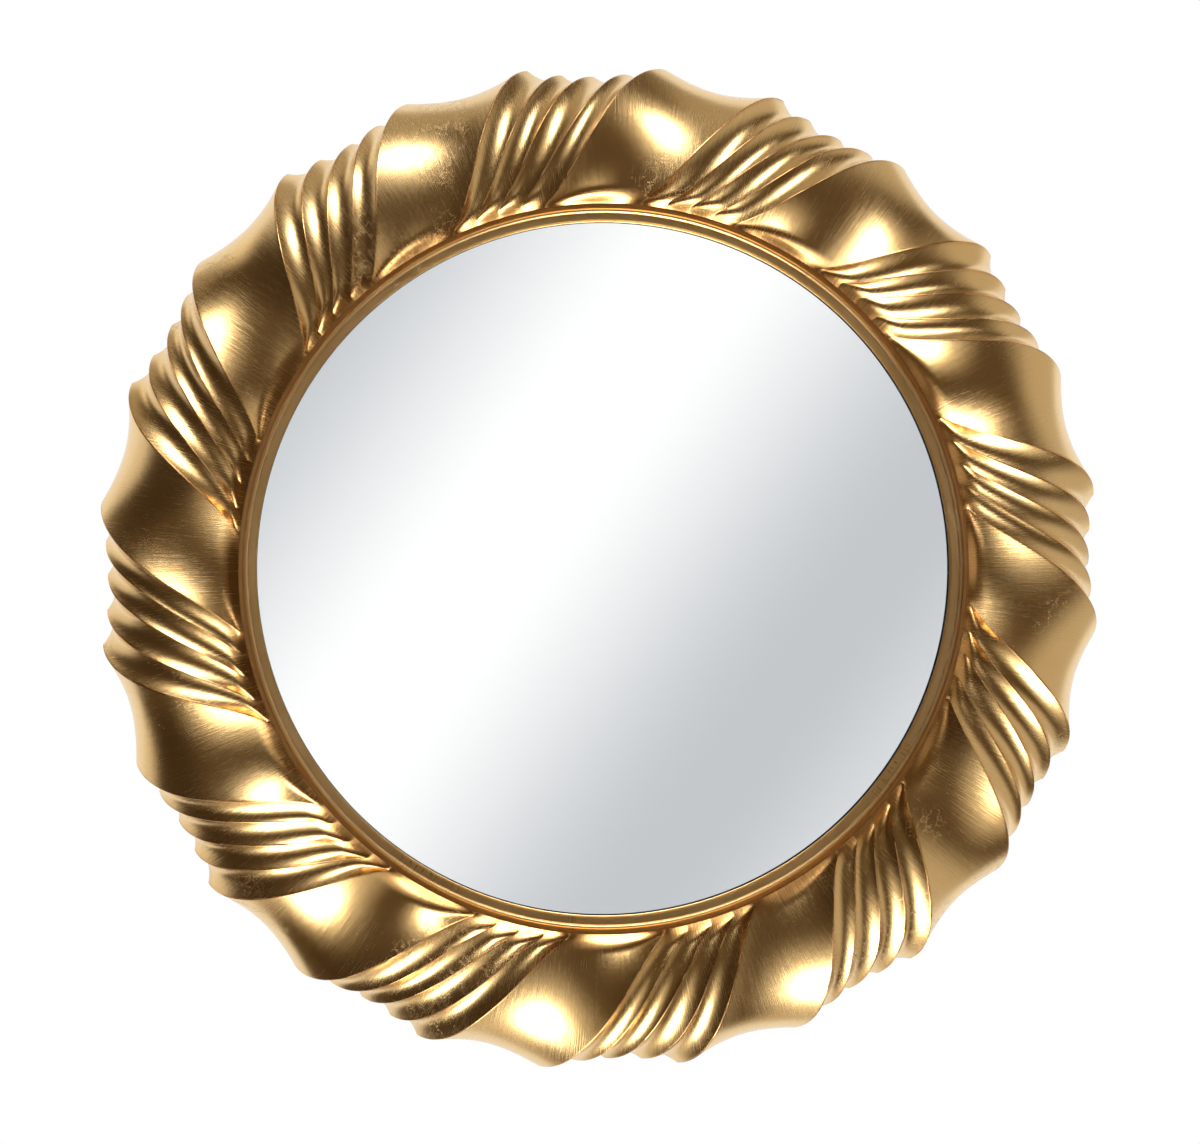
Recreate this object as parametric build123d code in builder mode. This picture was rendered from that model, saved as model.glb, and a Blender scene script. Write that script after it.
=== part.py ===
# Round wall mirror in a carved and gilded rope-twist frame, sizes in millimetres.
# The mirror hangs in the XZ plane and looks towards -Y. The origin is the mirror's centre on the
# wall, so a height in this file is a distance from the wall towards the viewer.

from build123d import *
import os
from math import asin, atan, cos, degrees, radians, sin, sqrt, tan

# Carved ring: a round section, full on the outside and cut off where it rolls in to the glass
frame_diameter = 1000.0
section_radius = 98.0
section_rise = 0.85
base_height = 4.0
inner_edge_angle = 27.7

# Carving: each repeat is one broad hollow facet and a bundle of narrow flutes
repeats = 12
flutes = 4
lay_angle = 31.0
lay_core_radius = 74.0
first_crest = 17.0
bundle_angle = 15.3
bundle_spread = 0.007
facet_depth = 13.5
bundle_depth = 11.0
flute_depth = 4.1
run_out_angle = 8.3
plain_edge_angle = 1.0
crown_strips = 9
run_out_strips = 3
trim_angle = 2.0

# Sight ring: the slim moulding inside the carving
fillet_width = 1.8
fillet_height = 2.6
slope_width = 6.4
slope_rise = 8.0
bead_width = 5.2
bead_flat = 2.0
bead_rise = 2.4
quirk_width = 3.4
flange_thickness = 7.0
flange_play = 0.5
sight_drop = 7.3

# Glass and what packs it in its rebate
glass_thickness = 5.0
glass_lap = 28.3
glass_gap = 3.5
glass_arris = 0.8
tape_thickness = 1.0
tape_inset = 2.0
tape_width = 10.0
sheet_thickness = 5.0
block_count = 6
block_length = 30.0
block_start = 30.0

# Backboard and its screws
board_thickness = 6.0
board_lap = 20.0
board_gap = 1.0
board_screws = 8
board_screw_inset = 9.0
board_screw_length = 20.0
strap_screw_length = 20.0
screw_radius = 2.0
screw_head_radius = 4.0
screw_cone_angle = 82.0
pan_head_height = 2.4
pan_head_bevel = 0.8

# D-ring hangers, a pair on the back
hook_spacing = 500.0
ring_wire = 4.0
ring_width = 32.0
ring_reach = 24.0
ring_corner = 5.0
ring_lean = 3.0
ring_head_gap = 1.0
strap_width = 19.0
strap_thickness = 1.6
strap_corner = 4.0
strap_end = 9.0
strap_screw_pitch = 14.0
strap_margin = 2.0
running_clearance = 0.05

# Felt pads that stand the frame off the wall
pad_thickness = 9.0
pad_radius = 12.0
pad_inset = 48.0
pad_bearings = (25.0, 155.0, 222.0, 318.0)

# Radii that follow, from the outside in and back out to the recess behind
frame_radius = frame_diameter / 2
section_centre = frame_radius - section_radius
lay_core_centre = frame_radius - lay_core_radius
throat_radius = section_centre - section_radius * sin(radians(inner_edge_angle))
bead_outer_radius = throat_radius - quirk_width
bead_radius = bead_outer_radius - bead_width
slope_radius = bead_radius - slope_width
sight_radius = slope_radius - fillet_width
glass_radius = sight_radius + glass_lap
rebate_radius = glass_radius + glass_gap
board_radius = rebate_radius + board_lap
recess_radius = board_radius + board_gap
board_screw_circle = board_radius - board_screw_inset
pad_ring_radius = frame_radius - pad_inset

# Heights that follow: the section stands on the pads, and what it holds is set out from its front
back = pad_thickness
section_height = back + base_height
crown_height = section_height + section_radius * section_rise
inner_edge_height = section_height + (crown_height - section_height) * cos(radians(inner_edge_angle))
bead_foot = inner_edge_height - sight_drop - bead_rise
lip_height = bead_foot - slope_rise
flange_back = lip_height - fillet_height
flange_front = flange_back + flange_thickness
glass_front = flange_back - tape_thickness
glass_back = glass_front - glass_thickness
board_front = glass_back - sheet_thickness
board_back = board_front - board_thickness
strap_face = back - strap_thickness

# Screws, and the hanger that is laid out round its ring and screws
screw_hole_radius = screw_radius + running_clearance
screw_cone_height = (screw_head_radius - screw_radius) / tan(radians(screw_cone_angle / 2))
eye_hole_radius = ring_wire / 2 + running_clearance
eye_radius = eye_hole_radius + strap_thickness
pivot_height = back - eye_radius
first_drop = ring_reach + ring_wire / 2 + ring_head_gap + screw_head_radius
strap_screw_drops = (first_drop, first_drop + strap_screw_pitch)
strap_length = strap_screw_drops[-1] + strap_end
strap_inner_edge = hook_spacing / 2 - strap_width / 2
hook_height = sqrt((recess_radius + strap_margin) ** 2 - strap_inner_edge**2) + strap_length

# Section angles that follow: 90 is the outermost point, 0 the crown, below 0 the inner side
back_angle = 90 + degrees(base_height / section_radius)
flute_end_angle = plain_edge_angle - inner_edge_angle
flute_full_angle = flute_end_angle + run_out_angle
trimmed_angle = -inner_edge_angle - trim_angle

hanging = (Align.CENTER, Align.CENTER, Align.MAX)
standing = (Align.CENTER, Align.CENTER, Align.MIN)

os.makedirs("parts", exist_ok=True)


def wall_plane(height):
    """A sketch plane parallel to the wall: X to the right, Z up, facing the viewer."""
    return Plane.XZ.offset(height)


def rear_plane(height, across=0.0, up=0.0):
    """A plane that looks out of the back of the mirror, with its local Y pointing down."""
    return Plane(origin=(across, -height, up), x_dir=(1, 0, 0), z_dir=(0, 1, 0))


def turned(profile_points):
    """The outline of a turned piece, given as (radius, height above the wall)."""
    return [(radius, -height) for radius, height in profile_points]


def spaced(first, last, steps):
    """Evenly spaced values, with both ends."""
    return [first + (last - first) * step / steps for step in range(steps + 1)]


def save(part, name):
    part.label = name
    export_step(part, f"parts/{name}.step")
    print(name, "volume", round(part.volume), "valid", part.is_valid)


# The rope's lay: a crest crosses a half-round core at one steady angle, as a strand does on a
# bent rope, and the carving stands straight in front of it on the fuller section
def crest_bearing(section_angle):
    radius = section_centre + section_radius * sin(radians(min(section_angle, 90.0)))
    core_angle = asin(min(max((radius - lay_core_centre) / lay_core_radius, -1.0), 1.0))
    root = sqrt(lay_core_centre**2 - lay_core_radius**2)
    here = atan((lay_core_centre * tan(core_angle / 2) + lay_core_radius) / root)
    crown = atan(lay_core_radius / root)
    travel = 2 * lay_core_radius / root * (here - crown)
    return first_crest - degrees(travel) * tan(radians(lay_angle))


# The carving runs out into the plain inner edge as a gouge cut does, in a round end
def carving_share(section_angle):
    run = (flute_full_angle - section_angle) / (flute_full_angle - flute_end_angle)
    return sqrt(1 - min(max(run, 0.0), 1.0) ** 2)


# A point on the carved surface, with a section angle over 90 standing for the flank below it
def carved_point(section_angle, bearing, depth):
    cut = section_radius - depth * carving_share(section_angle)
    on_section = radians(min(section_angle, 90.0))
    below = radians(max(section_angle - 90.0, 0.0)) * section_radius
    radius = section_centre + cut * sin(on_section)
    height = section_height + section_rise * cut * cos(on_section) - below
    turn = radians(bearing)
    return Vector(radius * cos(turn), -height, radius * sin(turn))


# Depth at one step across the bundle: its own hollow, with a flute's bottom at every odd step
def bundle_dip(step):
    hollow = bundle_depth * (1 - (step / flutes - 1) ** 2)
    return hollow + flute_depth * (step % 2)


# One closed line round the ring: each repeat is the broad hollow and the narrow flutes, as arcs
def carved_line(section_angle):
    crest = crest_bearing(section_angle)
    bundle = bundle_angle + bundle_spread * section_angle
    facet = 360 / repeats - bundle
    arcs = []
    for repeat in range(repeats):
        start = crest + repeat * 360 / repeats
        hollow = [
            carved_point(section_angle, start, 0.0),
            carved_point(section_angle, start + facet / 2, facet_depth),
            carved_point(section_angle, start + facet, 0.0),
        ]
        across = [
            carved_point(section_angle, bearing, bundle_dip(step))
            for step, bearing in enumerate(spaced(start + facet, start + facet + bundle, 2 * flutes))
        ]
        cuts = [hollow] + [across[2 * flute : 2 * flute + 3] for flute in range(flutes)]
        arcs += [Edge.make_three_point_arc(*cut) for cut in cuts]
    return Wire(arcs)


sides = {"left": -1, "right": 1}

# Carved frame: strips of the carved surface, from the back over the crown and down to the throat
stations = [back_angle]
stations += spaced(90, flute_full_angle, crown_strips)
stations += spaced(flute_full_angle, flute_end_angle, run_out_strips)[1:]
stations += [trimmed_angle]
carved_body = Solid.make_loft([carved_line(angle) for angle in stations], ruled=True)

with BuildPart() as carved_frame:
    add(carved_body)
    with BuildSketch(wall_plane(flange_front)):
        Circle(throat_radius)
    extrude(amount=section_radius, mode=Mode.SUBTRACT)
    with BuildSketch(wall_plane(board_front)):
        Circle(rebate_radius)
    extrude(amount=flange_front - board_front, mode=Mode.SUBTRACT)
    with BuildSketch(wall_plane(back)):
        Circle(recess_radius)
    extrude(amount=board_front - back, mode=Mode.SUBTRACT)
    with Locations(rear_plane(board_front)):
        with PolarLocations(board_screw_circle, board_screws):
            Hole(screw_hole_radius, depth=board_screw_length - board_thickness)
    for side in sides.values():
        with Locations(rear_plane(back, side * hook_spacing / 2, hook_height)):
            with Locations(*[(0, drop) for drop in strap_screw_drops]):
                Hole(screw_hole_radius, depth=strap_screw_length)
save(carved_frame.part, "carved_frame")

# Sight ring: a turned lip, slope and bead on a flange that seats on the carved frame's shoulder
bead_shoulder = (bead_width - bead_flat) / 2
with BuildPart() as sight_ring:
    with BuildSketch(Plane.XY):
        with BuildLine():
            Polyline(
                *turned(
                    [
                        (sight_radius, flange_back),
                        (sight_radius, lip_height),
                        (slope_radius, lip_height),
                        (bead_radius, bead_foot),
                        (bead_radius + bead_shoulder, bead_foot + bead_rise),
                        (bead_outer_radius - bead_shoulder, bead_foot + bead_rise),
                        (bead_outer_radius, bead_foot),
                        (bead_outer_radius, flange_front),
                        (rebate_radius - flange_play, flange_front),
                        (rebate_radius - flange_play, flange_back),
                    ]
                ),
                close=True,
            )
        make_face()
    revolve(axis=Axis.Y)
save(sight_ring.part, "sight_ring")

# Glazing tape: the dark felt ring between the sight ring and the glass
with BuildPart() as glazing_tape:
    with BuildSketch(wall_plane(glass_front)):
        Circle(sight_radius + tape_inset + tape_width)
        Circle(sight_radius + tape_inset, mode=Mode.SUBTRACT)
    extrude(amount=tape_thickness)
save(glazing_tape.part, "glazing_tape")

# Mirror glass: a round float-glass plate with arrissed edges
with BuildPart() as mirror_glass:
    with BuildSketch(wall_plane(glass_back)):
        Circle(glass_radius)
    extrude(amount=glass_thickness)
    chamfer(mirror_glass.edges().filter_by(GeomType.CIRCLE), glass_arris)
save(mirror_glass.part, "mirror_glass")

# Setting blocks: cork pieces that fill the gap between the glass edge and the rebate
with BuildPart() as setting_blocks:
    with BuildSketch(wall_plane(glass_back)):
        with PolarLocations(glass_radius, block_count, start_angle=block_start):
            Rectangle(4 * glass_gap, block_length)
        Circle(rebate_radius, mode=Mode.INTERSECT)
        Circle(glass_radius, mode=Mode.SUBTRACT)
    extrude(amount=glass_thickness)
save(setting_blocks.part, "setting_blocks")

# Backing sheet: the soft board behind the silvering
with BuildPart() as backing_sheet:
    with BuildSketch(wall_plane(board_front)):
        Circle(glass_radius)
    extrude(amount=sheet_thickness)
save(backing_sheet.part, "backing_sheet")

# Backboard: a plywood disc that closes the rebate, deep in the recess behind
with BuildPart() as backboard:
    with BuildSketch(wall_plane(board_back)):
        Circle(board_radius)
    extrude(amount=board_thickness)
    with Locations(rear_plane(board_back)):
        with PolarLocations(board_screw_circle, board_screws):
            CounterSinkHole(
                screw_hole_radius,
                screw_head_radius + running_clearance,
                depth=board_thickness,
                counter_sink_angle=screw_cone_angle,
            )
save(backboard.part, "backboard")

# Backboard screws: countersunk wood screws, flush with the board
with BuildPart() as backboard_screws:
    with Locations(rear_plane(board_back)):
        with PolarLocations(board_screw_circle, board_screws):
            Cylinder(screw_radius, board_screw_length, align=hanging)
            Cone(screw_radius, screw_head_radius, screw_cone_height, align=hanging)
save(backboard_screws.part, "backboard_screws")

# D-ring hangers: on each side a strap curled into an eye, and a ring that swings in it
for name, side in sides.items():
    across = side * hook_spacing / 2

    with BuildPart() as strap:
        with BuildSketch(Plane.YZ.offset(across)):
            with Locations((-pivot_height, hook_height)):
                Circle(eye_radius)
            with Locations((-back, hook_height)):
                Rectangle(strap_thickness, strap_length, align=(Align.MIN, Align.MAX))
            with Locations((-pivot_height, hook_height)):
                Circle(eye_hole_radius, mode=Mode.SUBTRACT)
        extrude(amount=strap_width / 2, both=True)
        fillet(strap.edges().filter_by(Axis.Y).group_by(Axis.Z)[0], strap_corner)
        with Locations(rear_plane(strap_face, across, hook_height)):
            with Locations(*[(0, drop) for drop in strap_screw_drops]):
                Hole(screw_hole_radius, depth=strap_thickness)
    save(strap.part, f"hanger_plate_{name}")

    lean = radians(ring_lean)
    pivot = (across, -pivot_height, hook_height)
    ring_plane = Plane(origin=pivot, x_dir=(1, 0, 0), z_dir=(0, -cos(lean), -sin(lean)))
    arm = ring_width / 2
    shoulder = ring_reach - arm
    with BuildPart() as ring:
        with BuildLine(ring_plane) as outline:
            FilletPolyline((-arm, shoulder), (-arm, 0), (arm, 0), (arm, shoulder), radius=ring_corner)
            ThreePointArc((arm, shoulder), (0, ring_reach), (-arm, shoulder))
        start = outline.line @ 0
        with BuildSketch(Plane(origin=start, z_dir=outline.line % 0)):
            Circle(ring_wire / 2)
        sweep(path=outline.line)
    save(ring.part, f"d_ring_{name}")

# Hanger screws: pan-head screws through the straps into the frame
with BuildPart() as hanger_screws:
    for side in sides.values():
        with Locations(rear_plane(strap_face, side * hook_spacing / 2, hook_height)):
            with Locations(*[(0, drop) for drop in strap_screw_drops]):
                Cylinder(screw_radius, strap_screw_length, align=hanging)
                Cylinder(screw_head_radius, pan_head_height, align=standing)
    rims = hanger_screws.edges().filter_by(GeomType.CIRCLE).group_by(Axis.Y)[-1]
    chamfer(rims, pan_head_bevel)
save(hanger_screws.part, "hanger_screws")

# Wall bumpers: felt pads on the frame's back
with BuildPart() as wall_bumpers:
    with BuildSketch(wall_plane(0)):
        for bearing in pad_bearings:
            with PolarLocations(pad_ring_radius, 1, start_angle=bearing):
                Circle(pad_radius)
    extrude(amount=pad_thickness)
save(wall_bumpers.part, "wall_bumpers")

print("pivot height", pivot_height, "hook height", round(hook_height, 4))
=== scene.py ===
# %% [markdown]
# # A round mirror in a carved and gilded rope-twist frame
#
# The real piece is a thick ring of carved wood, covered with gold leaf over red-brown bole and
# burnished, with a slim gilded moulding next to the glass. Each cell below makes one piece or one
# finish of it. A fixed model gives every size and place, so this file only adds looks: fine
# shape, materials, light and a camera. Lengths are in metres, X points right, Z up, and the
# mirror looks towards -Y from a wall at y = 0.

# %% Load the fixed model
import math

import bmesh
import bpy
import numpy as np
from mathutils import Matrix, Vector


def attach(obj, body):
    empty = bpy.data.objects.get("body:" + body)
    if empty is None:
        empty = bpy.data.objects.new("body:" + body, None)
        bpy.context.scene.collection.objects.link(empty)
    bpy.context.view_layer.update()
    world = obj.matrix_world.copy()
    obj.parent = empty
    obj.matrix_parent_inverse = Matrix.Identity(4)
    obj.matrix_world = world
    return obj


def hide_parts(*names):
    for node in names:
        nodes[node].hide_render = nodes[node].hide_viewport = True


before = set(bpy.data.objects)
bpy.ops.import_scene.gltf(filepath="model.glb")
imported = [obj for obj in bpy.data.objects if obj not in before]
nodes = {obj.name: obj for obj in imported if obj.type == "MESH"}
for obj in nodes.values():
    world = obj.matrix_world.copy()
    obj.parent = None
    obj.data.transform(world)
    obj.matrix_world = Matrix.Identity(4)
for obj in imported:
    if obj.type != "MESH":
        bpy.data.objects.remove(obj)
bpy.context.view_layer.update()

print("nodes in the fixed model:", len(nodes))

# %% Clear what a new Blender file starts with
for name in ("Cube", "Light", "Camera"):
    if name in bpy.data.objects:
        bpy.data.objects.remove(bpy.data.objects[name])

# %% [markdown]
# ## Node arithmetic
#
# Both the carved ring and the gold leaf are worked out by nodes. A chain of Math nodes is hard to
# read in a script, so this small class writes one node for each + - * / or named operation. The
# line of Python then reads like the formula, and Blender still gets an ordinary node tree.

# %% A number in a node tree
class Field:
    def __init__(self, tree, socket):
        self.tree, self.socket = tree, socket

    def math(self, operation, *others):
        return calc(self.tree, operation, self, *others)

    def __add__(self, other):
        return self.math("ADD", other)

    def __mul__(self, other):
        return self.math("MULTIPLY", other)

    def __sub__(self, other):
        return self.math("SUBTRACT", other)

    def __truediv__(self, other):
        return self.math("DIVIDE", other)

    def __rsub__(self, other):
        return calc(self.tree, "SUBTRACT", other, self)

    __radd__, __rmul__ = __add__, __mul__


def plug(tree, value, socket):
    if isinstance(value, Field):
        tree.links.new(value.socket, socket)
    else:
        socket.default_value = value


def calc(tree, operation, *values):
    node = tree.nodes.new("ShaderNodeMath")
    node.operation = operation
    for place, value in enumerate(values):
        plug(tree, value, node.inputs[place])
    return Field(tree, node.outputs[0])


def use(tree, kind, output=0, settings=None, **inputs):
    """Adds a node, sets its settings, plugs its inputs and returns one output."""
    node = tree.nodes.new(kind)
    for key, value in (settings or {}).items():
        setattr(node, key, value)
    for key, value in inputs.items():
        plug(tree, value, node.inputs[int(key[1:]) if key[1:].isdigit() else key.replace("_", " ")])
    return Field(tree, node.outputs[output])


print("node arithmetic ready")

# %% [markdown]
# ## A helper for Geometry Nodes
#
# A shape that repeats, or follows a rule, is made by a node tree with a named input for each of
# its sizes. The tree is run once on an empty mesh, and its result is kept as a plain mesh with
# the modifier taken off again, so that the piece can be moved and exported like any other.

# %% Named inputs, and a plain mesh from a tree
def named_inputs(tree, sizes):
    for name, size in sizes.items():
        kind = "NodeSocketInt" if isinstance(size, int) else "NodeSocketFloat"
        tree.interface.new_socket(name, in_out="INPUT", socket_type=kind)
    tree.interface.new_socket("Geometry", in_out="OUTPUT", socket_type="NodeSocketGeometry")
    group = tree.nodes.new("NodeGroupInput")
    return {name: Field(tree, group.outputs[name]) for name in sizes}


def new_tree(name):
    tree = bpy.data.node_groups.new(name, "GeometryNodeTree")
    tree.is_modifier = True
    return tree


def finish_tree(tree, shape, materials):
    """Ends a tree in Realize Instances and Set Material, one per (material, selection)."""
    shape = use(tree, "GeometryNodeRealizeInstances", i0=shape)
    for material, selection in materials:
        node = tree.nodes.new("GeometryNodeSetMaterial")
        node.inputs["Material"].default_value = material
        plug(tree, shape, node.inputs["Geometry"])
        if selection is not None:
            plug(tree, selection, node.inputs["Selection"])
        shape = Field(tree, node.outputs[0])
    plug(tree, shape, tree.nodes.new("NodeGroupOutput").inputs[0])


def baked(name, tree, sizes):
    holder = bpy.data.objects.new(name, bpy.data.meshes.new(name))
    bpy.context.scene.collection.objects.link(holder)
    modifier = holder.modifiers.new("shape", "NODES")
    modifier.node_group = tree
    for item in tree.interface.items_tree:
        if item.in_out == "INPUT":
            modifier[item.identifier] = sizes[item.name]
    graph = bpy.context.evaluated_depsgraph_get()
    mesh = bpy.data.meshes.new_from_object(holder.evaluated_get(graph), depsgraph=graph)
    holder.modifiers.clear()
    holder.data = mesh
    mesh.name = name
    print(name, "has", len(mesh.polygons), "faces")
    return holder


print("tree helpers ready")

# %% [markdown]
# ## Helpers for finishes
#
# Every finish starts from a Principled shader. Its even values are set on the shader itself, and
# only what varies over the surface comes from nodes. Patterns read Object coordinates, or the
# map called lay that the carved ring carries, so they stay on the piece from every side.

# %% Shader helpers
def new_finish(name, **settings):
    material = bpy.data.materials.new(name)
    material.use_nodes = True
    shader = material.node_tree.nodes["Principled BSDF"]
    for key, value in settings.items():
        shader.inputs[key.replace("_", " ")].default_value = value
    return material, material.node_tree, shader


def place_on(tree, stretch=(1, 1, 1), source=None):
    """Object coordinates, or another source, stretched for a pattern."""
    source = source or use(tree, "ShaderNodeTexCoord", output=3)
    return use(tree, "ShaderNodeMapping", i0=source, i3=stretch)


def noise(tree, where, scale, detail=2.0, roughness=0.5):
    return use(tree, "ShaderNodeTexNoise", Vector=where, Scale=scale, Detail=detail, Roughness=roughness)


def ramp(tree, value, low, high, start=0.0, end=1.0, smooth=False):
    kind = {"interpolation_type": "SMOOTHSTEP" if smooth else "LINEAR"}
    return use(tree, "ShaderNodeMapRange", settings=kind, i0=value, i1=low, i2=high, i3=start, i4=end)


def mix(tree, share, first, second):
    kind = {"data_type": "RGBA"}
    return use(tree, "ShaderNodeMix", output=2, settings=kind, i0=share, i6=first, i7=second)


def raise_by(tree, shader, height, depth):
    """Gives the shader a bump: height is 0 to 1, depth its size in metres."""
    bump = tree.nodes.new("ShaderNodeBump")
    bump.inputs["Strength"].default_value = 1.0
    bump.inputs["Distance"].default_value = depth
    tree.links.new(height.socket, bump.inputs["Height"])
    tree.links.new(bump.outputs[0], shader.inputs["Normal"])


print("finish helpers ready")

# %% [markdown]
# ## Burnished gold leaf
#
# Real leaf lies over red-brown bole on gesso. Burnishing leaves fine lines across the moulding,
# and wear opens the leaf along the arrises and in hairline scratches, where the bole shows. So the
# metal colour is mixed from soft clouds, the roughness from burnishing lines, and the bole from
# the distance to the nearest arris and from a broken network of scratches. An image would need one
# more file and could slide on the carving, so it is all built from nodes.

# %% Gold leaf over bole
leaf_colour = (0.84, 0.580, 0.262, 1)
leaf_pale = (0.87, 0.625, 0.31, 1)
leaf_red = (0.74, 0.40, 0.14, 1)
bole_colour = (0.20, 0.062, 0.022, 1)


def gilding(name, satin=0.0):
    """Gold leaf; satin makes it paler and rougher, as on a moulding too slim to burnish."""
    material, tree, shader = new_finish(name, Metallic=1.0)
    spot = use(tree, "ShaderNodeTexCoord", output=3)
    lay = use(tree, "ShaderNodeUVMap", settings={"uv_map": "lay"})
    arris = use(tree, "ShaderNodeAttribute", output=2, settings={"attribute_name": "arris"})
    section = use(tree, "ShaderNodeSeparateXYZ", output=1, i0=lay)

    clouds = noise(tree, spot, 7.0, 4.0, 0.6)
    fine = noise(tree, spot, 60.0, 3.0, 0.6)
    colour = mix(tree, ramp(tree, clouds, 0.35, 0.7), leaf_colour, leaf_pale)

    # The leaf reddens towards the inner edge, where it is thin over the bole
    inner = ramp(tree, section, -0.029, -0.045, 0.0, 0.80, smooth=True)
    near = ramp(tree, arris, 0.0036, 0.0004, 0.0, 0.65, smooth=True) * ramp(tree, fine, 0.3, 0.6)
    colour = mix(tree, inner.math("MAXIMUM", near), colour, leaf_red)

    # Bole shows in a hairline beside the arrises, in scratches and in pin holes
    worn = ramp(tree, arris, 0.00085, 0.00035) * ramp(tree, noise(tree, spot, 28.0, 3.0), 0.46, 0.60)
    crack = (noise(tree, spot, 46.0, 5.0, 0.72) - 0.5).math("ABSOLUTE")
    scratched = ramp(tree, crack, 0.0075, 0.0020) * ramp(tree, noise(tree, spot, 9.0, 2.0), 0.58, 0.70)
    holes = use(tree, "ShaderNodeTexVoronoi", Vector=spot, Scale=260.0)
    pitted = ramp(tree, holes, 0.13, 0.08) * ramp(tree, noise(tree, spot, 22.0, 2.0), 0.60, 0.72)
    bole = worn.math("MAXIMUM", scratched * 0.6).math("MAXIMUM", pitted * 0.45)
    colour = mix(tree, satin * 4.0, colour, (0.98, 0.76, 0.42, 1))
    colour = mix(tree, bole, colour, bole_colour)
    plug(tree, colour, shader.inputs["Base Color"])
    plug(tree, 1.0 - bole * 0.7, shader.inputs["Metallic"])

    # Burnishing lines run across the moulding, with a few deeper ones
    lines = noise(tree, place_on(tree, (1500.0, 22.0, 1.0), source=lay), 1.0, 2.0, 0.6)
    broad = noise(tree, place_on(tree, (260.0, 9.0, 1.0), source=lay), 1.0, 3.0, 0.6)
    rough = 0.17 + satin + ramp(tree, clouds, 0.3, 0.7, 0.0, 0.07) + ramp(tree, lines, 0.35, 0.7, 0.0, 0.08)
    plug(tree, rough + bole * 0.3, shader.inputs["Roughness"])
    relief = lines * 0.5 + broad * 0.6 + fine * 0.6 - bole * 0.6
    raise_by(tree, shader, relief, 0.00022)
    return material


gold_carved = gilding("gold_leaf_carved")
gold_sight = gilding("gold_leaf_sight", satin=0.09)
print("gilding has", len(gold_carved.node_tree.nodes), "nodes")

# %% [markdown]
# ## Wood, cork, felt and steel
#
# The back of a frame is left as the workshop left it: bare lime wood glued up from segments,
# birch plywood, grey board, cork, felt and zinc-plated hangers. Each is a short recipe of
# stretched noise, kept at the scale of the real thing.

# %% Bare wood of the glued-up ring
def bare_wood(name):
    material, tree, shader = new_finish(name, Roughness=0.62)
    spot = use(tree, "ShaderNodeTexCoord", output=3)
    parts = use(tree, "ShaderNodeSeparateXYZ", i0=spot)
    along, up = parts, use(tree, "ShaderNodeSeparateXYZ", output=2, i0=spot)
    bearing = up.math("ARCTAN2", along) * (12 / (2 * math.pi)) + 0.31
    block = bearing.math("FLOOR")
    joint = ramp(tree, (bearing.math("FRACT") - 0.5).math("ABSOLUTE"), 0.4982, 0.4994)
    turn = block * (2 * math.pi / 12) + 1.1
    grain_place = use(tree, "ShaderNodeVectorRotate", settings={"rotation_type": "Y_AXIS"}, Vector=spot, Angle=turn)
    grain = noise(tree, place_on(tree, (14.0, 120.0, 260.0), source=grain_place), 1.0, 4.0, 0.6)
    tone = use(tree, "ShaderNodeTexWhiteNoise", settings={"noise_dimensions": "1D"}, W=block)
    colour = mix(tree, ramp(tree, grain, 0.3, 0.7), (0.50, 0.36, 0.22, 1), (0.66, 0.50, 0.33, 1))
    colour = mix(tree, tone * 0.25, colour, (0.42, 0.29, 0.17, 1))
    smudge = ramp(tree, noise(tree, spot, 11.0, 4.0), 0.55, 0.75, 0.0, 0.35)
    colour = mix(tree, smudge, colour, (0.34, 0.20, 0.12, 1))
    colour = mix(tree, joint * 0.7, colour, (0.16, 0.10, 0.06, 1))
    plug(tree, colour, shader.inputs["Base Color"])
    raise_by(tree, shader, grain - joint, 0.00025)
    return material


wood_back = bare_wood("bare_lime_wood")
print("bare wood ready")

# %% Small recipes for the hidden parts
def grained(name, dark, light, stretch, scale_bump, rough, metal=0.0):
    """A finish from one stretched noise: its colour between dark and light, and its bump."""
    material, tree, shader = new_finish(name, Metallic=metal)
    pattern = noise(tree, place_on(tree, stretch), 1.0, 4.0, 0.6)
    spots = noise(tree, place_on(tree), 35.0, 3.0)
    colour = mix(tree, ramp(tree, pattern, 0.3, 0.7), dark, light)
    plug(tree, mix(tree, ramp(tree, spots, 0.5, 0.8, 0.0, 0.35), colour, dark), shader.inputs["Base Color"])
    plug(tree, rough + ramp(tree, spots, 0.3, 0.8, -0.06, 0.06), shader.inputs["Roughness"])
    raise_by(tree, shader, pattern, scale_bump)
    return material


plywood = grained(
    "birch_plywood", (0.52, 0.37, 0.21, 1), (0.72, 0.56, 0.37, 1), (9.0, 60.0, 190.0), 0.00015, 0.60)
grey_board = grained(
    "grey_backing_board", (0.36, 0.31, 0.25, 1), (0.50, 0.44, 0.36, 1), (420.0, 420.0, 420.0), 0.0002, 0.85)
cork = grained(
    "cork", (0.20, 0.11, 0.06, 1), (0.55, 0.37, 0.21, 1), (600.0, 600.0, 600.0), 0.0004, 0.8)
felt_black = grained(
    "black_felt", (0.008, 0.008, 0.009, 1), (0.03, 0.03, 0.032, 1), (1800.0, 1800.0, 1800.0), 0.0003, 0.95)
felt_brown = grained(
    "brown_wool_felt", (0.10, 0.055, 0.03, 1), (0.22, 0.13, 0.075, 1), (1500.0, 1500.0, 1500.0), 0.0006, 0.95)
zinc_screw = grained(
    "zinc_plated_screws", (0.42, 0.40, 0.34, 1), (0.66, 0.62, 0.50, 1), (500.0, 500.0, 500.0), 0.00004, 0.34, 1.0)
strap_steel = grained(
    "pressed_strap_steel", (0.40, 0.40, 0.39, 1), (0.62, 0.61, 0.58, 1), (60.0, 60.0, 900.0), 0.00005, 0.38, 1.0)
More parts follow.
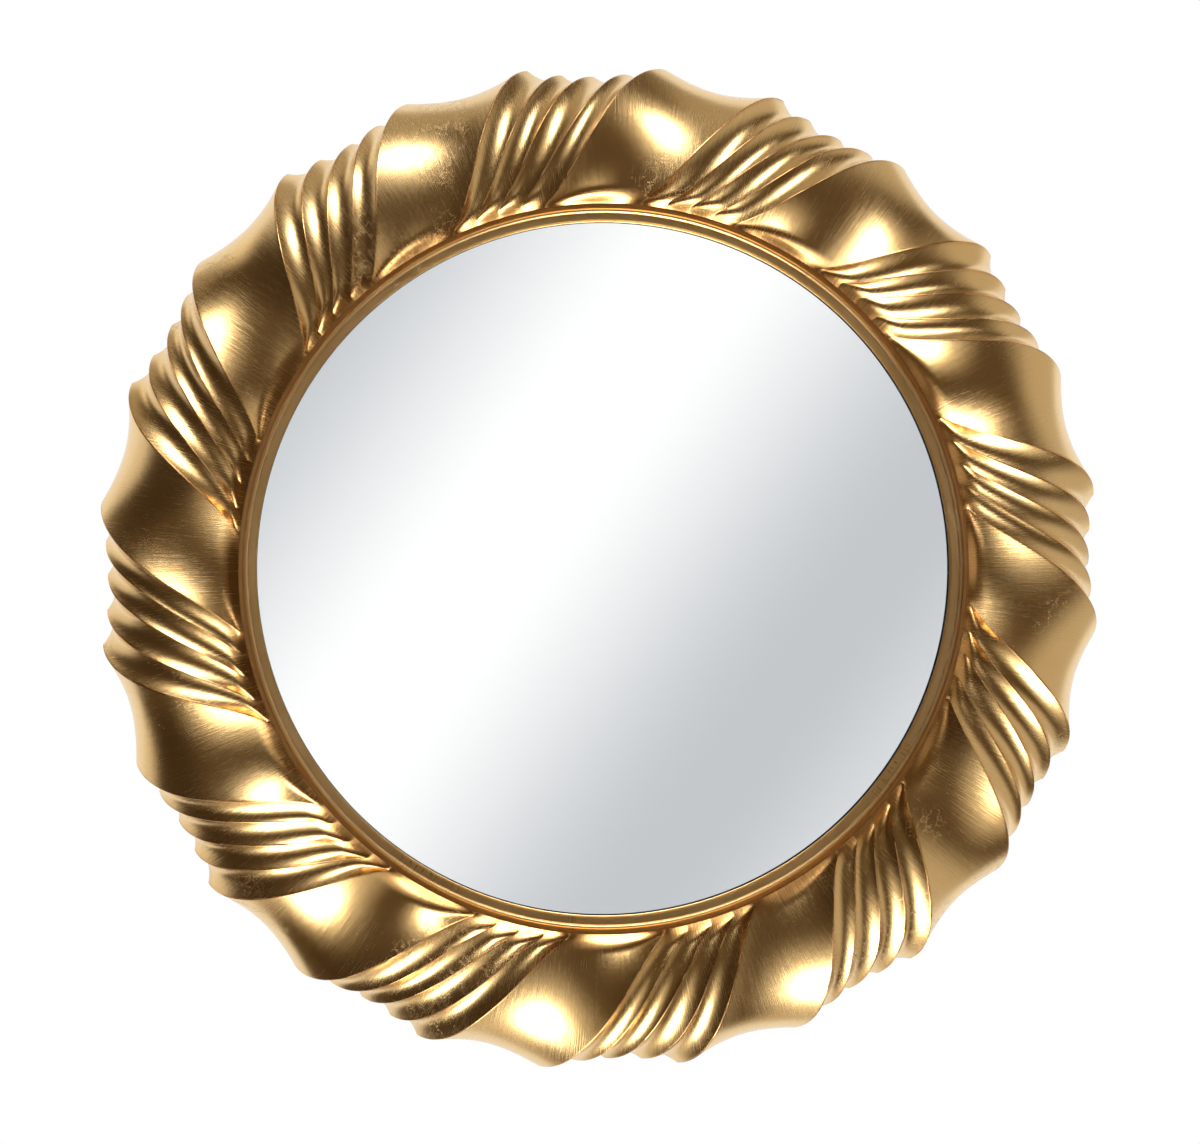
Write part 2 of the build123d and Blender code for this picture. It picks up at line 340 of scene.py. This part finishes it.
ring_steel = grained(
    "ring_wire_steel", (0.48, 0.48, 0.47, 1), (0.70, 0.69, 0.67, 1), (300.0, 300.0, 300.0), 0.00003, 0.26, 1.0)

for node, material in {
    "glazing_tape": felt_black, "setting_blocks": cork, "backing_sheet": grey_board, "backboard": plywood,
    "hanger_plate_left": strap_steel, "hanger_plate_right": strap_steel,
    "d_ring_left": ring_steel, "d_ring_right": ring_steel, "wall_bumpers": felt_brown,
}.items():
    nodes[node].data.materials.clear()
    nodes[node].data.materials.append(material)
print("finishes set on the pieces that keep their fixed shape")

# %% [markdown]
# ## The carved rope-twist ring
#
# The carver works twelve repeats round the ring: a broad hollow facet, then a bundle of four
# narrow flutes, all sweeping across the round section like the strands of a rope. That is a
# rule, so a node tree is the natural way. A flat grid is bent into the ring: one direction of
# the grid runs round the mirror, with columns that crowd together at the arrises so that these
# stay crisp, and the other runs over the section from the throat to the back. Sculpting could
# copy one facet's chance shape better, but it would lose the even lay of the rope.

# %% Sizes of the carving
ring_sizes = {
    "Frame radius": 0.5, "Section radius": 0.098, "Section rise": 0.85, "Base height": 0.013, "Back height": 0.009,
    "Inner edge angle": -27.7, "Back angle": 94.0, "Lay core radius": 0.074, "Lay slope": math.tan(math.radians(31.0)),
    "First crest": 17.0, "Bundle angle": 15.3, "Bundle spread": 0.007, "Facet depth": 0.0135,
    "Bundle depth": 0.011, "Flute depth": 0.0052, "Rim depth": 0.0024, "Arris round": 0.0002, "Run-out start": -18.4,
    "Run-out end": -26.7, "Hand shift": 0.9, "Hand drop": 0.0020,
    "Repeats": 12, "Facet columns": 24, "Flute columns": 12, "Skin rows": 96,
}
# The turned steps behind the skin, as (radius, height over the wall): recess, rebate and throat
turned_back = [(0.392463, 0.009), (0.392463, 0.0554533), (0.371463, 0.0554533),
               (0.371463, 0.0734533), (0.356446, 0.0734533), (0.356446, 0.0863)]
print("columns:", 12 * (24 + 4 * 12), "rows:", 96 + len(turned_back) + 1)

# %% The tree of the carved ring
def carved_ring_tree(gold, wood):
    tree = new_tree("carved_ring")
    size = named_inputs(tree, ring_sizes)
    degree = math.pi / 180
    facet_columns, flute_columns, skin_rows = size["Facet columns"], size["Flute columns"], size["Skin rows"]
    per_repeat = facet_columns + flute_columns * 4
    rows = skin_rows + (len(turned_back) + 1)
    grid = use(tree, "GeometryNodeMeshGrid", i2=per_repeat * size["Repeats"] + 1, i3=rows)

    # Which column and row a point is in, and where its column lies in the repeat
    index = use(tree, "GeometryNodeInputIndex")
    column = (index / rows + 0.0001).math("FLOOR")
    row = index - column * rows
    repeat = (column / per_repeat + 0.0001).math("FLOOR")
    step = column - repeat * per_repeat
    in_facet = step.math("LESS_THAN", facet_columns - 0.5)
    flute_step = (step - facet_columns).math("MAXIMUM", 0.0) / flute_columns
    flute = (flute_step + 0.0001).math("FLOOR")
    even = in_facet * (step / facet_columns) + (1.0 - in_facet) * (flute_step - flute)
    across = 0.5 - (even * math.pi).math("COSINE") * 0.5

    # The section angle of the row, and the nominal radius it stands at
    skin = row.math("MINIMUM", skin_rows - 1.0) / (skin_rows - 1.0)
    turned = row.math("GREATER_THAN", skin_rows - 0.5)
    angle = size["Inner edge angle"] + skin * (size["Back angle"] - size["Inner edge angle"])
    angle = turned * size["Inner edge angle"] + (1.0 - turned) * angle
    on_section = angle.math("MINIMUM", 90.0) * degree
    below = (angle - 90.0).math("MAXIMUM", 0.0) * degree * size["Section radius"]
    centre = size["Frame radius"] - size["Section radius"]
    nominal = centre + size["Section radius"] * on_section.math("SINE")

    # The lay: the crest's bearing at this radius, set out on the half-round core
    core = size["Frame radius"] - size["Lay core radius"]
    core_angle = ((nominal - core) / size["Lay core radius"]).math("MAXIMUM", -0.89)
    core_angle = core_angle.math("MINIMUM", 0.99999).math("ARCSINE")
    root = (core * core - size["Lay core radius"] * size["Lay core radius"]).math("SQRT")
    here = ((core * (core_angle * 0.5).math("TANGENT") + size["Lay core radius"]) / root).math("ARCTANGENT")
    crown = (size["Lay core radius"] / root).math("ARCTANGENT")
    travel = (here - crown) * size["Lay core radius"] / root * (2 / degree)
    crest = size["First crest"] - travel * size["Lay slope"]

    # The cut this column is in, between two arrises, each a little off its place as by hand
    core_degrees = core_angle * (1 / degree)
    bundle = size["Bundle angle"] + size["Bundle spread"] * core_degrees
    facet = 30.0 - bundle
    start = (1.0 - in_facet) * (facet + bundle * flute / 4.0)
    width = in_facet * facet + (1.0 - in_facet) * bundle / 4.0
    first_arris = repeat * 5.0 + (1.0 - in_facet) * (flute + 1.0)

    def by_hand(arris, seed):
        key = use(tree, "ShaderNodeCombineXYZ", X=arris.math("MODULO", 60.0) * 3.7 + seed, Y=angle * 0.012)
        return use(tree, "ShaderNodeTexNoise", settings={"noise_dimensions": "2D"}, Vector=key, Scale=1.0, Detail=0.0)

    def between(low, high):
        return low + (high - low) * across

    shift = between(by_hand(first_arris, 1.3), by_hand(first_arris + 1.0, 1.3)) - 0.5
    drop = between(by_hand(first_arris, 47.1), by_hand(first_arris + 1.0, 47.1))
    run = (size["Run-out start"] - angle) / (size["Run-out start"] - size["Run-out end"])
    run = run.math("MAXIMUM", 0.0).math("MINIMUM", 1.0)
    share = (1.0 - run * run).math("SQRT")
    bearing = crest + repeat * 30.0 + start + width * across + shift * size["Hand shift"] * share

    # Depth: the bundle's own hollow, then the cut, eased into a small round at its arrises
    def envelope(place):
        return size["Bundle depth"] * (1.0 - (place / 2.0 - 1.0) * (place / 2.0 - 1.0))

    hollow = (1.0 - in_facet) * between(envelope(flute), envelope(flute + 1.0))
    towards_rim = on_section.math("SINE").math("MAXIMUM", 0.0)
    flute_deep = size["Flute depth"] + towards_rim * size["Rim depth"]
    deep = in_facet * size["Facet depth"] + (1.0 - in_facet) * flute_deep
    cut = deep * 4.0 * across * (1.0 - across)
    eased = (cut * cut + size["Arris round"] * size["Arris round"]).math("SQRT") - size["Arris round"]
    depth = (hollow + eased + drop * size["Hand drop"]) * share

    # Radius and height over the wall, with the turned steps of the back after the skin
    reach = size["Section radius"] - depth
    radius = centre + reach * on_section.math("SINE")
    height = size["Base height"] + size["Section rise"] * reach * on_section.math("COSINE") - below
    height = height.math("MAXIMUM", size["Back height"])
    for place, (turned_radius, turned_height) in enumerate(turned_back):
        chosen = calc(tree, "COMPARE", row, skin_rows + float(place), 0.25)
        radius = chosen * turned_radius + (1.0 - chosen) * radius
        height = chosen * turned_height + (1.0 - chosen) * height
    around = bearing * degree
    spot = use(tree, "ShaderNodeCombineXYZ", X=radius * around.math("COSINE"), Y=height * -1.0,
               Z=radius * around.math("SINE"))

    # Maps for the gilding: a flat map of the surface, and the distance to the nearest arris
    lay = use(tree, "ShaderNodeCombineXYZ", X=around * centre, Y=angle * degree * size["Section radius"])
    lay = use(tree, "GeometryNodeFieldOnDomain", settings={"data_type": "FLOAT_VECTOR", "domain": "POINT"}, i0=lay)
    near = across.math("MINIMUM", 1.0 - across) * width * degree * radius + run * 0.01
    shape = grid
    for kind, domain, label, value in (("FLOAT2", "CORNER", "lay", lay), ("FLOAT", "POINT", "arris", near),
                                       ("FLOAT", "POINT", "row", row)):
        shape = use(tree, "GeometryNodeStoreNamedAttribute", settings={"data_type": kind, "domain": domain},
                    Geometry=shape, Name=label, Value=value)
    shape = use(tree, "GeometryNodeSetPosition", Geometry=shape, Position=spot)
    shape = use(tree, "GeometryNodeMergeByDistance", i0=shape, Distance=0.00001)
    shape = use(tree, "GeometryNodeSetShadeSmooth", Geometry=shape)
    row_here = use(tree, "GeometryNodeInputNamedAttribute", settings={"data_type": "FLOAT"}, Name="row")
    bare = row_here.math("GREATER_THAN", skin_rows - 1.0) * row_here.math("LESS_THAN", skin_rows + 3.9)
    finish_tree(tree, shape, [(gold, None), (wood, bare)])
    return tree


carved_ring = baked("carved_ring", carved_ring_tree(gold_carved, wood_back), ring_sizes)

# %% Turn the faces outwards, and keep only the back's right angles sharp
def tidy_normals(piece, sharp=55.0):
    mesh = piece.data
    bm = bmesh.new()
    bm.from_mesh(mesh)
    bmesh.ops.recalc_face_normals(bm, faces=bm.faces)
    bm.to_mesh(mesh)
    bm.free()
    mesh.set_sharp_from_angle(angle=math.radians(sharp))
    return piece


tidy_normals(carved_ring)
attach(carved_ring, "frame")
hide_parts("carved_frame")

# %% [markdown]
# ## Turned rings
#
# The sight ring, and the glass in it, are turned shapes: one outline swept round the mirror's
# centre. A Screw modifier would do it, but a short loop that joins copies of the outline gives
# the same mesh, and can also store the flat map and the distance to an arris for the gilding.

# %% Sweep an outline round the centre
def turned_piece(name, outline, material, steps=360, arrises=()):
    """outline is a closed list of (radius, height over the wall), in metres."""
    count = len(outline)
    points, faces = [], []
    for step in range(steps):
        turn = 2 * math.pi * step / steps
        points += [(r * math.cos(turn), -h, r * math.sin(turn)) for r, h in outline]
        nearby = (step + 1) % steps
        here, there = step * count, nearby * count
        faces += [(here + k, there + k, there + (k + 1) % count, here + (k + 1) % count) for k in range(count)]
    mesh = bpy.data.meshes.new(name)
    mesh.from_pydata(points, [], faces)
    lengths = np.concatenate([[0], np.cumsum(np.hypot(*np.diff(np.array(outline + outline[:1]), axis=0).T))])
    lay = mesh.uv_layers.new(name="lay")
    for face in mesh.polygons:
        step, k = divmod(face.index, count)
        corners = ((0, 0), (1, 0), (1, 1), (0, 1))
        for loop, (over, up) in zip(face.loop_indices, corners):
            lay.data[loop].uv = ((step + over) * 2 * math.pi * 0.40 / steps, lengths[k + up])
    arris = mesh.attributes.new("arris", "FLOAT", "POINT")
    near = [min([abs(lengths[k] - lengths[a]) for a in arrises] or [0.02]) for k in range(count)]
    arris.data.foreach_set("value", near * steps)
    mesh.materials.append(material)
    mesh.polygons.foreach_set("use_smooth", [True] * len(mesh.polygons))
    piece = bpy.data.objects.new(name, mesh)
    bpy.context.scene.collection.objects.link(piece)
    return tidy_normals(piece, 40.0)


print("turned pieces ready")

# %% [markdown]
# ## The sight ring
#
# Next to the glass runs a slim gilded moulding: a half-round bead, then a hollow slope and a thin
# fillet. The fixed model has it with straight slopes; the real one is turned with true rounds,
# so the bead is drawn here with an arc and the slope with a hollow curve.

# %% Sight ring with a true bead and hollow
lip, bead_foot, flange_back, flange_front = 0.0690533, 0.0770533, 0.0664533, 0.0734533
bead = [(0.350463 + 0.0026 * math.cos(t), bead_foot + 0.0024 * math.sin(t)) for t in np.linspace(0, math.pi, 13)]
slope = [(0.341463 + 0.0060 * (1 - math.sin(t)), lip + 0.0004 + 0.0072 * (1 - math.cos(t)))
         for t in np.linspace(math.pi / 2, 0, 10)]
fillet = [(0.341463, lip), (0.34105, lip + 0.00025), (0.34020, lip + 0.0002), (0.339663, lip - 0.0003)]
ring_outline = ([(0.353063, flange_front)] + bead + [(0.347863, bead_foot - 0.0002)] + slope + fillet
                + [(0.339663, flange_back), (0.370963, flange_back), (0.370963, flange_front)])
sight_ring = turned_piece("sight_moulding", ring_outline, gold_sight, arrises=(1, 13, 24))
dark_paint, _, _ = new_finish("dark_paint", Base_Color=(0.012, 0.017, 0.018, 1), Roughness=0.5)
sight_ring.data.materials.append(dark_paint)
hidden = len(ring_outline) - 4
for face in sight_ring.data.polygons:
    if face.index % len(ring_outline) in (hidden, hidden + 1):
        face.material_index = 1
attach(sight_ring, "frame")
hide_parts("sight_ring")
print("sight ring has", len(sight_ring.data.polygons), "faces")

# %% [markdown]
# ## Silvered glass
#
# A mirror is clear float glass with silver behind it. Making both gives the faint second
# reflection and the dark line round the edge that a single shiny disc lacks.

# %% Silvering and clear plate
silvering, _, _ = new_finish("silvering", Base_Color=(0.93, 0.93, 0.93, 1), Metallic=1.0, Roughness=0.0)
clear_glass, _, _ = new_finish("clear_float_glass", Base_Color=(0.995, 0.997, 0.996, 1), Roughness=0.0,
                               IOR=1.52, Transmission_Weight=1.0)

glass_back, glass_front = 0.0604533, 0.0654533
plate_outline = [(0.0, glass_front), (0.367163, glass_front), (0.367963, glass_front - 0.0008),
                 (0.367963, glass_back + 0.0012), (0.367163, glass_back + 0.0004), (0.0, glass_back + 0.0004)]


def disc_outline(name, outline, material, steps=256):
    """A turned piece whose outline starts and ends on the axis, closed there to one point."""
    piece = turned_piece(name, outline, material, steps)
    bm = bmesh.new()
    bm.from_mesh(piece.data)
    bmesh.ops.remove_doubles(bm, verts=bm.verts, dist=1e-6)
    bmesh.ops.dissolve_degenerate(bm, edges=bm.edges, dist=1e-7)
    bmesh.ops.recalc_face_normals(bm, faces=bm.faces)
    bm.to_mesh(piece.data)
    bm.free()
    return piece


plate = disc_outline("float_glass", plate_outline, clear_glass)
silver_front = glass_back + 0.0003
silver_outline = [(0.0, silver_front), (0.367163, silver_front), (0.367163, glass_back), (0.0, glass_back)]
silver_disc = disc_outline("silvered_back", silver_outline, silvering)
for piece in (plate, silver_disc):
    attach(piece, "frame")
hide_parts("mirror_glass")
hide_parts("mirror_glass")
print("mirror made of", plate.name, "and", silver_disc.name)

# %% [markdown]
# ## Screws with driven heads
#
# The backboard is held by eight countersunk screws and each hanger by two pan heads. A node tree
# places one screw on many points, which is quicker to change than many copies.

# %% One screw head profile, placed by nodes
def screw_mesh(name, outline, steps=32):
    """A turned screw along +Y from its tip, with a cross recess pressed into its head."""
    turns = [2 * math.pi * s / steps for s in range(steps)]
    points = [(r * math.cos(turn), y, r * math.sin(turn)) for turn in turns for r, y in outline]
    count = len(outline)
    faces = [(s * count + k, s * count + k + 1, (s + 1) % steps * count + k + 1, (s + 1) % steps * count + k)
             for s in range(steps) for k in range(count - 1)]
    mesh = bpy.data.meshes.new(name)
    mesh.from_pydata(points, [], faces)
    bm = bmesh.new()
    bm.from_mesh(mesh)
    bmesh.ops.remove_doubles(bm, verts=bm.verts, dist=1e-7)
    bmesh.ops.recalc_face_normals(bm, faces=bm.faces)
    head = outline[-1][1]
    for vert in bm.verts:
        across = min(abs(vert.co.x), abs(vert.co.z))
        out = math.hypot(vert.co.x, vert.co.z)
        if vert.co.y > head - 0.0006 and out < 0.0021 and across < 0.00042:
            vert.co.y -= 0.0013 * (1 - out / 0.0024)
    bm.to_mesh(mesh)
    bm.free()
    mesh.polygons.foreach_set("use_smooth", [True] * len(mesh.polygons))
    mesh.set_sharp_from_angle(angle=math.radians(32))
    return mesh


rings = [(0.0024 * k / 6, 0.0) for k in range(6, -1, -1)]
shank = [(0.0, -0.0195), (0.0006, -0.0185), (0.0019, -0.0150)]
flat_screw = screw_mesh("flat_head", shank + [(0.0019, -0.0024), (0.0039, -0.00015), (0.0038, 0.0)] + rings)
pan_rings = [(r, 0.00230 - 6.0 * r * r) for r, _ in rings]
pan_head = [(0.0019, 0.0), (0.0039, 0.00005), (0.0039, 0.0012), (0.0033, 0.0018)]
pan_screw = screw_mesh("pan_head", shank + pan_head + pan_rings)
print("screw heads have", len(flat_screw.polygons), "and", len(pan_screw.polygons), "faces")


def screws(name, body_mesh, places, material):
    """Screws on points, each turned by its own chance angle, as one plain mesh."""
    source = bpy.data.objects.new(name + "_one", body_mesh)
    bpy.context.scene.collection.objects.link(source)
    tree = new_tree(name)
    sizes = {"Turn seed": 4}
    size = named_inputs(tree, sizes)
    spots = [use(tree, "GeometryNodeMeshLine", Count=1, Start_Location=spot) for spot in places]
    join = tree.nodes.new("GeometryNodeJoinGeometry")
    for spot in reversed(spots):
        tree.links.new(spot.socket, join.inputs[0])
    info = use(tree, "GeometryNodeObjectInfo", output=4, i0=source)
    chance = use(tree, "FunctionNodeRandomValue", output=1, i2=0.0, i3=6.28, Seed=size["Turn seed"])
    turn = use(tree, "ShaderNodeCombineXYZ", Y=chance)
    placed = use(tree, "GeometryNodeInstanceOnPoints", Points=Field(tree, join.outputs[0]), Instance=info,
                 Rotation=turn)
    finish_tree(tree, placed, [(material, None)])
    piece = baked(name, tree, sizes)
    bpy.data.objects.remove(source)
    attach(piece, "frame")
    return piece


board_back = -0.0494533
screw_circle = 0.382463
board_spots = [(screw_circle * math.cos(math.pi * k / 4), board_back, screw_circle * math.sin(math.pi * k / 4))
               for k in range(8)]
board_screws = screws("backboard_fixings", flat_screw, board_spots, zinc_screw)
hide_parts("backboard_screws")
strap_spots = [(side * 0.25, -0.0074, 0.3666451 - drop) for side in (-1, 1) for drop in (0.031, 0.045)]
strap_screws = screws("hanger_fixings", pan_screw, strap_spots, zinc_screw)
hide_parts("hanger_screws")

# %% [markdown]
# ## Studio
#
# Gold leaf has no colour of its own to speak of: it shows the room. The photograph's room has
# bright soft boxes above and below, a dim warm dark to the left, right and behind the camera,
# and white paper behind the mirror. A curved screen in front carries those soft boxes, and only
# reflections see it. The world is white wherever the camera or a reflection meets it, and plain
# soft light everywhere else, so wood and felt show their own colours.

# %% World, lamps and floor
scene = bpy.context.scene
scene.view_settings.view_transform = "Standard"
world = bpy.data.worlds.new("studio")
scene.world = world
world.use_nodes = True
sky = world.node_tree
for node in list(sky.nodes):
    sky.nodes.remove(node)
rays = sky.nodes.new("ShaderNodeLightPath")
seen = (Field(sky, rays.outputs["Is Camera Ray"]) + Field(sky, rays.outputs["Is Glossy Ray"])
        + Field(sky, rays.outputs["Is Transmission Ray"]))
plain = use(sky, "ShaderNodeBackground", Color=(1, 1, 1, 1), Strength=0.55)
white = use(sky, "ShaderNodeBackground", Color=(1, 1, 1, 1), Strength=1.0)
both = use(sky, "ShaderNodeMixShader", i0=seen.math("MINIMUM", 1.0), i1=plain, i2=white)
plug(sky, both, sky.nodes.new("ShaderNodeOutputWorld").inputs[0])


def soft_box(name, place, size, watts):
    lamp = bpy.data.lights.new(name, "AREA")
    lamp.shape, lamp.size, lamp.size_y, lamp.energy = "RECTANGLE", size[0], size[1], watts
    box = bpy.data.objects.new(name, lamp)
    box.location = place
    box.rotation_euler = (Vector((0, 0, 0)) - Vector(place)).to_track_quat("-Z", "Y").to_euler()
    box.visible_camera = box.visible_glossy = box.visible_transmission = False
    scene.collection.objects.link(box)
    return box


soft_box("soft_box_over", (0.5, -1.8, 2.2), (1.6, 1.2), 34)
soft_box("soft_box_under", (0.0, -2.0, -0.6), (1.8, 0.9), 12)
soft_box("soft_box_behind", (-0.8, 2.2, 1.6), (1.8, 1.4), 30)

# %% The curved screen that the gilding reflects
def lobe(tree, across, up, centre, size, soft=0.35, lean=0.0):
    """A soft-edged oval patch on the screen, in degrees from the mirror's own axis."""
    c, s = math.cos(math.radians(lean)), math.sin(math.radians(lean))
    dx, dz = across - centre[0], up - centre[1]
    ex = (dx * c + dz * s) / size[0]
    ez = (dz * c - dx * s) / size[1]
    return ramp(tree, (ex * ex + ez * ez).math("SQRT"), 1.0 + soft, 1.0 - soft, smooth=True)


def screen_material():
    material = bpy.data.materials.new("studio_screen")
    material.use_nodes = True
    tree = material.node_tree
    tree.nodes.clear()
    spot = use(tree, "ShaderNodeTexCoord", output=3)
    way = use(tree, "ShaderNodeVectorMath", settings={"operation": "NORMALIZE"}, i0=spot)
    x, y, z = (use(tree, "ShaderNodeSeparateXYZ", output=k, i0=way) for k in range(3))
    from_axis = (y * -1.0).math("ARCCOSINE") * (180 / math.pi)
    side = (x * x + z * z + 1e-8).math("SQRT")
    across, up = from_axis * x / side, from_axis * z / side
    colour = (0.100, 0.068, 0.040, 1)
    for tint, level, centre, size, soft, lean in SOFT_BOXES:
        patch = lobe(tree, across, up, centre, size, soft, lean) * level
        colour = mix(tree, patch, colour, tint)
    rim = ramp(tree, from_axis, 112.0, 126.0, smooth=True)
    colour = mix(tree, rim, colour, (1, 1, 1, 1))
    glow = use(tree, "ShaderNodeEmission", Color=colour, Strength=1.0)
    plug(tree, glow, tree.nodes.new("ShaderNodeOutputMaterial").inputs[0])
    return material


SOFT_BOXES = [
    # tint (brightness), share, centre in degrees across and up, size, softness, lean
    ((0.045, 0.028, 0.015, 1), 0.90, (-66.0, -6.0), (26.0, 58.0), 0.45, 0.0),
    ((0.50, 0.43, 0.34, 1), 0.85, (-18.0, 104.0), (66.0, 26.0), 0.40, 0.0),
    ((0.62, 0.54, 0.45, 1), 0.90, (0.0, -122.0), (90.0, 30.0), 0.35, 0.0),
    ((0.62, 0.56, 0.48, 1), 0.95, (112.0, 0.0), (50.0, 120.0), 0.28, 0.0),
    ((0.95, 0.90, 0.86, 1), 0.90, (-124.0, 10.0), (28.0, 90.0), 0.35, 0.0),
    ((1.10, 1.02, 0.92, 1), 0.65, (4.0, 48.0), (33.0, 24.0), 0.50, 0.0),
    ((1.10, 1.02, 0.90, 1), 0.75, (-2.0, -64.0), (36.0, 38.0), 0.50, 20.0),
    ((9.0, 8.6, 8.0, 1), 1.0, (2.0, 50.0), (20.0, 10.5), 0.45, 0.0),
    ((9.0, 8.6, 7.9, 1), 1.0, (-6.0, -66.0), (19.0, 19.0), 0.45, 0.0),
    ((1.3, 1.2, 1.05, 1), 0.8, (-92.0, 84.0), (30.0, 20.0), 0.45, -45.0),
]


def part_sphere(name, radius, detail, reach, material):
    """A sphere round the mirror, open behind: reach is how far it goes in Y, as a share."""
    bm = bmesh.new()
    bmesh.ops.create_icosphere(bm, subdivisions=detail, radius=radius)
    bmesh.ops.delete(bm, geom=[v for v in bm.verts if v.co.y > radius * reach], context="VERTS")
    mesh = bpy.data.meshes.new(name)
    bm.to_mesh(mesh)
    bm.free()
    mesh.materials.append(material)
    piece = bpy.data.objects.new(name, mesh)
    scene.collection.objects.link(piece)
    return piece


screen = part_sphere("studio_screen", 9.0, 5, 0.60, screen_material())
screen.visible_camera = screen.visible_diffuse = screen.visible_shadow = screen.visible_transmission = False
print("screen has", len(screen.data.polygons), "faces")

# %% The pale paper that the mirror itself reflects, a glowing sheet with lamplight painted on it
paper = bpy.data.materials.new("graded_paper")
paper.use_nodes = True
paper_tree = paper.node_tree
paper_tree.nodes.clear()
spot = use(paper_tree, "ShaderNodeTexCoord", output=3)
way = use(paper_tree, "ShaderNodeVectorMath", settings={"operation": "NORMALIZE"}, i0=spot)
x, z = (use(paper_tree, "ShaderNodeSeparateXYZ", output=k, i0=way) for k in (0, 2))

# A pool of lamplight is painted aslant over the paper, which glows by itself: it rises, falls, and a fainter one
# starts beyond
slant = x * 0.807 - z * 0.591
rising = ramp(paper_tree, slant, -0.075, 0.018, smooth=True)
falling = ramp(paper_tree, slant, 0.118, 0.024, smooth=True)
far_pool = ramp(paper_tree, slant, 0.128, 0.175, 0.0, 0.35, smooth=True)
lit = (rising * falling).math("MAXIMUM", far_pool)
painted_lamplight_tone = mix(paper_tree, lit, (0.53, 0.555, 0.58, 1), (1, 1, 1, 1))
# The painted lamplight glows as emission; no lamp lights this paper
glow = use(paper_tree, "ShaderNodeEmission", Color=painted_lamplight_tone, Strength=1.18)
plug(paper_tree, glow, paper_tree.nodes.new("ShaderNodeOutputMaterial").inputs[0])
sheet = part_sphere("graded_paper", 30.0, 4, -0.1, paper)
sheet.visible_camera = sheet.visible_diffuse = sheet.visible_shadow = sheet.visible_glossy = False

# %% The floor, a pale round sheet that fades out into the white
floor_material, floor_tree, floor_shader = new_finish("pale_floor", Base_Color=(0.80, 0.80, 0.80, 1), Roughness=0.9)
spot = use(floor_tree, "ShaderNodeTexCoord", output=3)
away = use(floor_tree, "ShaderNodeVectorMath", output=1, settings={"operation": "LENGTH"}, i0=spot)
plug(floor_tree, ramp(floor_tree, away, 1.0, 1.75, 1.0, 0.0, smooth=True), floor_shader.inputs["Alpha"])
bm = bmesh.new()
bmesh.ops.create_circle(bm, cap_ends=True, radius=1.5, segments=96)
mesh = bpy.data.meshes.new("floor")
bm.to_mesh(mesh)
bm.free()
floor_height = -0.92
mesh.transform(Matrix.Translation((0, 0, floor_height)))
mesh.materials.append(floor_material)
floor = bpy.data.objects.new("floor", mesh)
scene.collection.objects.link(floor)
floor.visible_glossy = floor.visible_transmission = False
print("floor at", floor_height)

# %% [markdown]
# ## Camera
#
# The photograph was taken from about three and a half metres, a little to the left and a hand's
# breadth above the middle, with a long lens. Aiming at the mirror's centre and shifting the
# frame by under one percent puts the ring where it stands in the photograph.

# %% Camera
camera_data = bpy.data.cameras.new("camera")
camera = bpy.data.objects.new("camera", camera_data)
scene.collection.objects.link(camera)
aside, above, distance = math.radians(-3.0), math.radians(1.0), 3.5
towards = Vector((math.sin(aside) * math.cos(above), -math.cos(aside) * math.cos(above), math.sin(above)))
camera.location = towards * distance
aim = Vector((0.0, -0.05, 0.0))
camera.rotation_euler = (aim - camera.location).to_track_quat("-Z", "Y").to_euler()
camera_data.sensor_width = 36.0
camera_data.lens = 105.1
camera_data.shift_x, camera_data.shift_y = -0.0030, -0.0025
scene.camera = camera
print("camera at", [round(v, 3) for v in camera.location])
